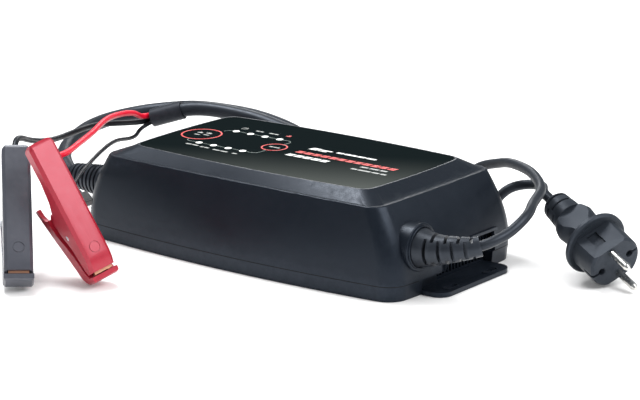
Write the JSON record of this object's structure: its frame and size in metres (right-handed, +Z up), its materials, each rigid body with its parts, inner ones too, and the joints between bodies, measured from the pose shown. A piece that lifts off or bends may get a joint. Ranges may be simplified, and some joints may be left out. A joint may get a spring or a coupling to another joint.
{
  "type": "car battery charger",
  "caption": "Moulded mains car battery charger with slotted mounting ears, two keys, status lights, a plug cord and an output cord with red and black spring clamps.",
  "frame": {"origin": "centre of the flat underside of the housing", "axes": "+X towards the mains cord end, -Y the near long side (clamps lie there), +Z up through the label"},
  "size_m": [0.4563, 0.3048, 0.0939],
  "materials": {
    "case_black": "fine satin grain moulded plastic",
    "label_film": "smooth printed film, graphics drawn in the visual model",
    "key_plastic": "smooth film over a hard key",
    "clear_white": "milky light pipe",
    "led_body": "clear encapsulated lamp",
    "board_green": "glass-fibre circuit board with solder mask",
    "steel_zinc": "zinc-plated steel",
    "ferrite": "pressed ferrite",
    "copper_wire": null,
    "can_black": "sleeved aluminium can",
    "alu": "extruded aluminium",
    "semi_black": "moulded epoxy",
    "film_yellow": "moulded box capacitor",
    "glass_tube": "glass tube fuse",
    "terminal_green": "moulded terminal block",
    "fan_black": "moulded plastic",
    "cord_rubber": "smooth satin rubber",
    "relief_rubber": "soft moulded rubber",
    "sleeve_black": "shrunk plastic sleeve",
    "lead_red": "smooth insulation",
    "lead_black": "smooth insulation",
    "wire_pvc": "wire insulation",
    "plug_rubber": "moulded rubber plug",
    "nickel": "nickel-plated brass",
    "clamp_black": "satin moulded plastic",
    "clamp_red": "satin moulded plastic",
    "jaw_copper": "copper-plated steel jaw",
    "sensor_black": "potted sensor cap"
  },
  "bodies": {
    "charger": {"base_shell": "case_black", "black_clamp_front_jaw": "jaw_copper", "black_clamp_front_shell": "clamp_black", "black_clamp_pivot": "steel_zinc", "black_clamp_spring": "steel_zinc", "board_screws": "steel_zinc", "bridge_rectifier": "semi_black", "bulk_capacitors": "can_black", "cable_split_sleeve": "sleeve_black", "display_board": "board_green", "display_ribbon": "wire_pvc", "display_screws": "steel_zinc", "fan_frame": "fan_black", "fan_screws": "steel_zinc", "film_capacitor": "film_yellow", "fuse_clips": "steel_zinc", "housing_screws": "steel_zinc", "label_overlay": "label_film", "led_light_pipes": "clear_white", "line_filter_choke": "copper_wire", "main_board": "board_green", "mains_cable": "cord_rubber", "mains_fuse": "glass_tube", "mains_strain_relief": "relief_rubber", "mains_wires": "wire_pvc", "negative_lead": "lead_black", "output_cable": "cord_rubber", "output_capacitors": "can_black", "output_choke": "copper_wire", "output_strain_relief": "relief_rubber", "output_terminals": "terminal_green", "output_wires": "wire_pvc", "plug_body": "plug_rubber", "plug_pins": "nickel", "positive_lead": "lead_red", "power_semiconductors": "semi_black", "primary_heatsink": "alu", "red_clamp_front_jaw": "jaw_copper", "red_clamp_front_shell": "clamp_red", "red_clamp_pivot": "steel_zinc", "red_clamp_spring": "steel_zinc", "secondary_heatsink": "alu", "sensor_lead": "lead_black", "status_leds": "led_body", "switch_bodies": "semi_black", "temperature_sensor": "sensor_black", "top_cover": "case_black", "transformer_core": "ferrite", "transformer_feet": "fan_black", "transformer_winding": "copper_wire", "vent_grille": "case_black"},
    "mode_button": {"mode_key": "key_plastic", "mode_switch_plunger": "semi_black"},
    "reset_button": {"reset_key": "key_plastic", "reset_switch_plunger": "semi_black"},
    "fan_wheel": {"fan_rotor": "fan_black"},
    "black_clamp_lever": {"black_clamp_rear_shell": "clamp_black", "black_clamp_rear_jaw": "jaw_copper"},
    "red_clamp_lever": {"red_clamp_rear_shell": "clamp_red", "red_clamp_rear_jaw": "jaw_copper"}
  },
  "joints": [
    {"name": "mode_press", "type": "slide", "parent": "charger", "child": "mode_button", "axis": [0, 0, -1], "range_m": [0, 0.0005], "stiffness_N_per_m": 4000},
    {"name": "reset_press", "type": "slide", "parent": "charger", "child": "reset_button", "axis": [0, 0, -1], "range_m": [0, 0.0005], "stiffness_N_per_m": 4000},
    {"name": "fan_spin", "type": "hinge", "parent": "charger", "child": "fan_wheel", "pos_m": [0.1152, 0.0114, 0.025], "axis": [1, 0, 0], "continuous": true},
    {"name": "black_clamp_open", "type": "hinge", "parent": "charger", "child": "black_clamp_lever", "pos_m": [-0.09011, -0.17068, 0.02889], "axis": [0.6775, 0.7338, -0.0508], "range_deg": [0, 26], "stiffness_Nm_per_rad": 0.35, "springref_deg": -34.38, "deforming": ["black_clamp_spring"]},
    {"name": "red_clamp_open", "type": "hinge", "parent": "charger", "child": "red_clamp_lever", "pos_m": [-0.05723, -0.14842, 0.03331], "axis": [0.2461, 0.9308, 0.2701], "range_deg": [0, 26], "stiffness_Nm_per_rad": 0.35, "springref_deg": -34.38, "deforming": ["red_clamp_spring"]}
  ]
}
